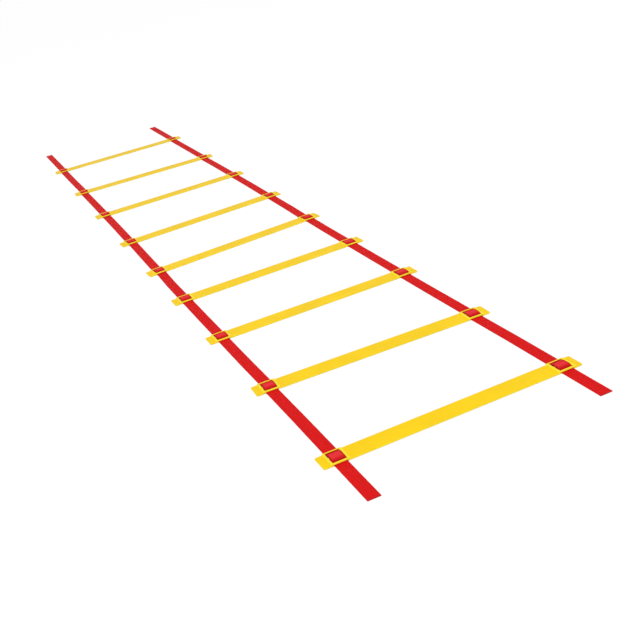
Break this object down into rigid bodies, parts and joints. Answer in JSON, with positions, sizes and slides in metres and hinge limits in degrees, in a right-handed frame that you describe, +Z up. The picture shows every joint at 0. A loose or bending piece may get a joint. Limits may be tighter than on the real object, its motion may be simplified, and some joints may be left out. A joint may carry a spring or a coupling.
{
  "type": "agility ladder",
  "caption": "Flat agility ladder: moulded rungs threaded on two webbing straps, each rung sliding along them, the bays folding in turn into a stack.",
  "frame": {"origin": "on the ground under the middle of the ladder laid out flat", "axes": "+Y along the straps from the near end to the far end with the longer tails, +X along the rungs to the right, +Z up"},
  "size_m": [0.5092, 3.144, 0.0071],
  "materials": {
    "rung_plastic": "satin",
    "strap_webbing": "woven"
  },
  "bodies": {
    "section_1": {"strap_left_1": "strap_webbing", "strap_right_1": "strap_webbing"},
    "rung_1": {"rung_1": "rung_plastic"},
    "section_2": {"strap_left_2": "strap_webbing", "strap_right_2": "strap_webbing"},
    "rung_2": {"rung_2": "rung_plastic"},
    "section_3": {"strap_left_3": "strap_webbing", "strap_right_3": "strap_webbing"},
    "rung_3": {"rung_3": "rung_plastic"},
    "section_4": {"strap_left_4": "strap_webbing", "strap_right_4": "strap_webbing"},
    "rung_4": {"rung_4": "rung_plastic"},
    "section_5": {"strap_left_5": "strap_webbing", "strap_right_5": "strap_webbing"},
    "rung_5": {"rung_5": "rung_plastic"},
    "section_6": {"strap_left_6": "strap_webbing", "strap_right_6": "strap_webbing"},
    "rung_6": {"rung_6": "rung_plastic"},
    "section_7": {"strap_left_7": "strap_webbing", "strap_right_7": "strap_webbing"},
    "rung_7": {"rung_7": "rung_plastic"},
    "section_8": {"strap_left_8": "strap_webbing", "strap_right_8": "strap_webbing"},
    "rung_8": {"rung_8": "rung_plastic"},
    "section_9": {"strap_left_9": "strap_webbing", "strap_right_9": "strap_webbing"},
    "rung_9": {"rung_9": "rung_plastic"}
  },
  "joints": [
    {"name": "rung_1_slide", "type": "slide", "parent": "section_1", "child": "rung_1", "axis": [0, 1, 0], "range_m": [-0.0948, 0.1236], "deforming": ["strap_left_1", "strap_right_1"]},
    {"name": "fold_1", "type": "hinge", "parent": "section_1", "child": "section_2", "pos_m": [0, -1.26626, 0.0074], "axis": [1, 0, 0], "range_deg": [0, 180]},
    {"name": "rung_2_slide", "type": "slide", "parent": "section_2", "child": "rung_2", "axis": [0, 1, 0], "range_m": [-0.1151, 0.1112], "deforming": ["strap_left_2", "strap_right_2"]},
    {"name": "fold_2", "type": "hinge", "parent": "section_2", "child": "section_3", "pos_m": [0, -0.95472, -0.001], "axis": [-1, 0, 0], "range_deg": [0, 180]},
    {"name": "rung_3_slide", "type": "slide", "parent": "section_3", "child": "rung_3", "axis": [0, 1, 0], "range_m": [-0.1183, 0.1091], "deforming": ["strap_left_3", "strap_right_3"]},
    {"name": "fold_3", "type": "hinge", "parent": "section_3", "child": "section_4", "pos_m": [0, -0.65633, 0.0074], "axis": [1, 0, 0], "range_deg": [0, 180]},
    {"name": "rung_4_slide", "type": "slide", "parent": "section_4", "child": "rung_4", "axis": [0, 1, 0], "range_m": [-0.1104, 0.1012], "deforming": ["strap_left_4", "strap_right_4"]},
    {"name": "fold_4", "type": "hinge", "parent": "section_4", "child": "section_5", "pos_m": [0, -0.37634, -0.001], "axis": [-1, 0, 0], "range_deg": [0, 180]},
    {"name": "rung_5_slide", "type": "slide", "parent": "section_5", "child": "rung_5", "axis": [0, 1, 0], "range_m": [-0.0853, 0.1063], "deforming": ["strap_left_5", "strap_right_5"]},
    {"name": "fold_5", "type": "hinge", "parent": "section_5", "child": "section_6", "pos_m": [0, -0.08453, 0.0074], "axis": [1, 0, 0], "range_deg": [0, 180]},
    {"name": "rung_6_slide", "type": "slide", "parent": "section_6", "child": "rung_6", "axis": [0, 1, 0], "range_m": [-0.1138, 0.1349], "deforming": ["strap_left_6", "strap_right_6"]},
    {"name": "fold_6", "type": "hinge", "parent": "section_6", "child": "section_7", "pos_m": [0, 0.24936, -0.001], "axis": [-1, 0, 0], "range_deg": [0, 180]},
    {"name": "rung_7_slide", "type": "slide", "parent": "section_7", "child": "rung_7", "axis": [0, 1, 0], "range_m": [-0.1433, 0.1433], "deforming": ["strap_left_7", "strap_right_7"]},
    {"name": "fold_7", "type": "hinge", "parent": "section_7", "child": "section_8", "pos_m": [0, 0.60427, 0.0074], "axis": [1, 0, 0], "range_deg": [0, 180]},
    {"name": "rung_8_slide", "type": "slide", "parent": "section_8", "child": "rung_8", "axis": [0, 1, 0], "range_m": [-0.1313, 0.1655], "deforming": ["strap_left_8", "strap_right_8"]},
    {"name": "fold_8", "type": "hinge", "parent": "section_8", "child": "section_9", "pos_m": [0, 0.99337, -0.001], "axis": [-1, 0, 0], "range_deg": [0, 180]},
    {"name": "rung_9_slide", "type": "slide", "parent": "section_9", "child": "rung_9", "axis": [0, 1, 0], "range_m": [-0.1708, 0.2812], "deforming": ["strap_left_9", "strap_right_9"]}
  ]
}
